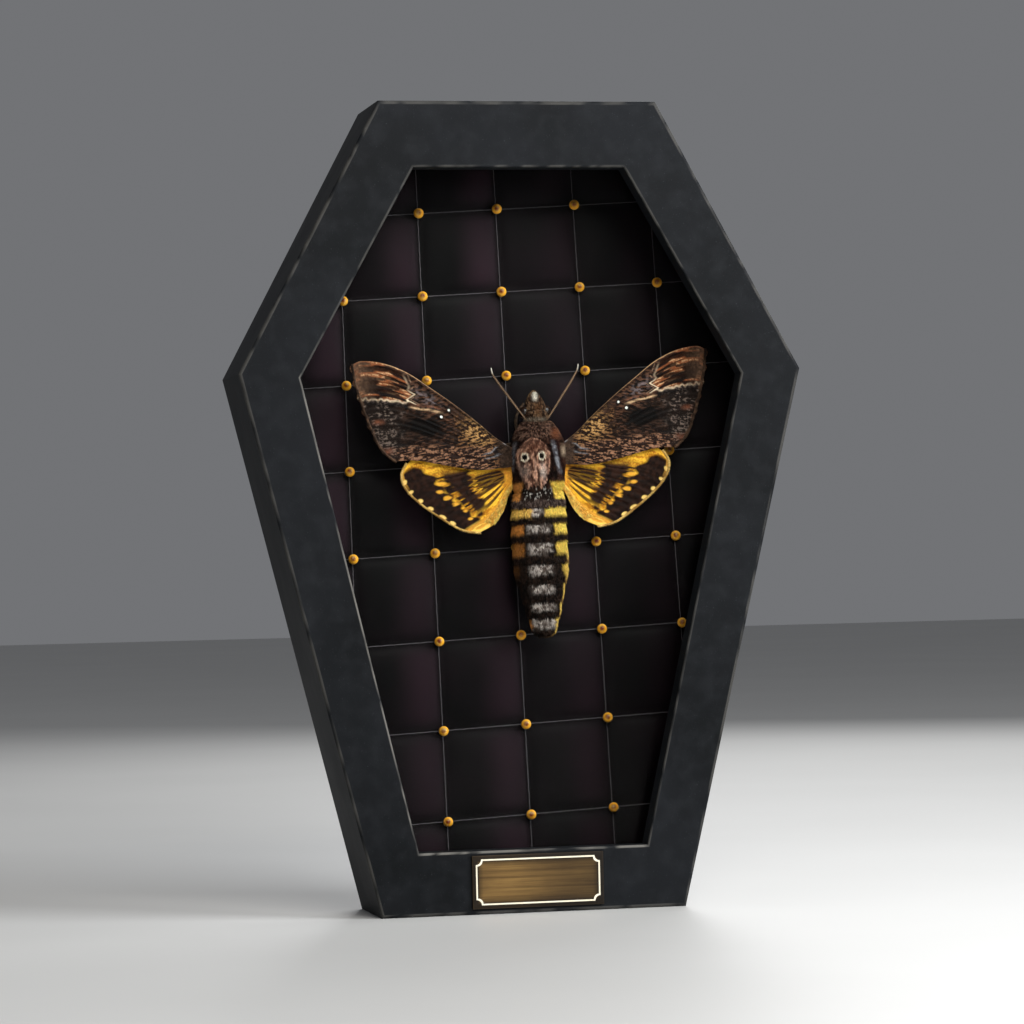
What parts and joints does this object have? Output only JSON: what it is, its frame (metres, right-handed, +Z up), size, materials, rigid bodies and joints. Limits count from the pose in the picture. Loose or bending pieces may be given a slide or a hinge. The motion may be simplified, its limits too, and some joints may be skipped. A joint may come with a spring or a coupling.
{
  "type": "mounted death's-head hawkmoth in a coffin-shaped display case",
  "caption": "Death's-head hawkmoth set with its wings spread over a quilted, beaded lining, in a glazed coffin-shaped wooden case with a bare brass plaque.",
  "frame": {"origin": "middle of the case's footprint, on the surface that it stands on", "axes": "+Z up to the case's top, -Y out of the glass, +X to the right of a viewer in front of the glass"},
  "size_m": [0.17, 0.036, 0.24],
  "materials": {
    "painted_wood": "matt charcoal paint with a faint blue sheen, brushed grain and rubbed edges",
    "pane_glass": "clear polished pane",
    "back_board": "dark stained hardboard",
    "quilted_lining": "aubergine black satin, stitched in squares",
    "aged_brass": "brushed antique brass with a dark rim and a pale border line",
    "amber_bead": "glossy amber bead with a darker middle",
    "cork_post": "raw cork",
    "dark_fur": "short black brown fur with a tan pink mark on the thorax",
    "banded_fur": "short fur banded in black brown, grey and yellow",
    "moth_eye": "dark glossy facets",
    "antenna": "brown with pale scales",
    "forewing_scales": "black brown scales marbled with ochre, rust and cream",
    "hindwing_scales": "golden yellow scales with dark bands",
    "moth_leg": "dark brown with fine scales"
  },
  "bodies": {
    "root": {"rail_foot": "painted_wood", "rail_right_lower": "painted_wood", "rail_right_upper": "painted_wood", "rail_top": "painted_wood", "rail_left_upper": "painted_wood", "rail_left_lower": "painted_wood", "glass": "pane_glass", "back_board": "back_board", "lining": "quilted_lining", "plaque": "aged_brass", "bead_1_1": "amber_bead", "bead_1_2": "amber_bead", "bead_1_3": "amber_bead", "bead_2_1": "amber_bead", "bead_2_2": "amber_bead", "bead_2_3": "amber_bead", "bead_2_4": "amber_bead", "bead_2_5": "amber_bead", "bead_3_1": "amber_bead", "bead_3_2": "amber_bead", "bead_3_3": "amber_bead", "bead_3_4": "amber_bead", "bead_3_5": "amber_bead", "bead_4_1": "amber_bead", "bead_4_2": "amber_bead", "bead_4_3": "amber_bead", "bead_4_4": "amber_bead", "bead_5_1": "amber_bead", "bead_5_2": "amber_bead", "bead_5_3": "amber_bead", "bead_5_4": "amber_bead", "bead_5_5": "amber_bead", "bead_6_1": "amber_bead", "bead_6_2": "amber_bead", "bead_6_3": "amber_bead", "bead_6_4": "amber_bead", "bead_7_1": "amber_bead", "bead_7_2": "amber_bead", "bead_7_3": "amber_bead", "bead_8_1": "amber_bead", "bead_8_2": "amber_bead", "bead_8_3": "amber_bead", "post": "cork_post", "thorax": "dark_fur", "head": "dark_fur", "abdomen": "banded_fur", "eye_left": "moth_eye", "antenna_left": "antenna", "forewing_left": "forewing_scales", "hindwing_left": "hindwing_scales", "leg_front_left": "moth_leg", "leg_middle_left": "moth_leg", "leg_hind_left": "moth_leg", "eye_right": "moth_eye", "antenna_right": "antenna", "forewing_right": "forewing_scales", "hindwing_right": "hindwing_scales", "leg_front_right": "moth_leg", "leg_middle_right": "moth_leg", "leg_hind_right": "moth_leg"}
  },
  "joints": []
}
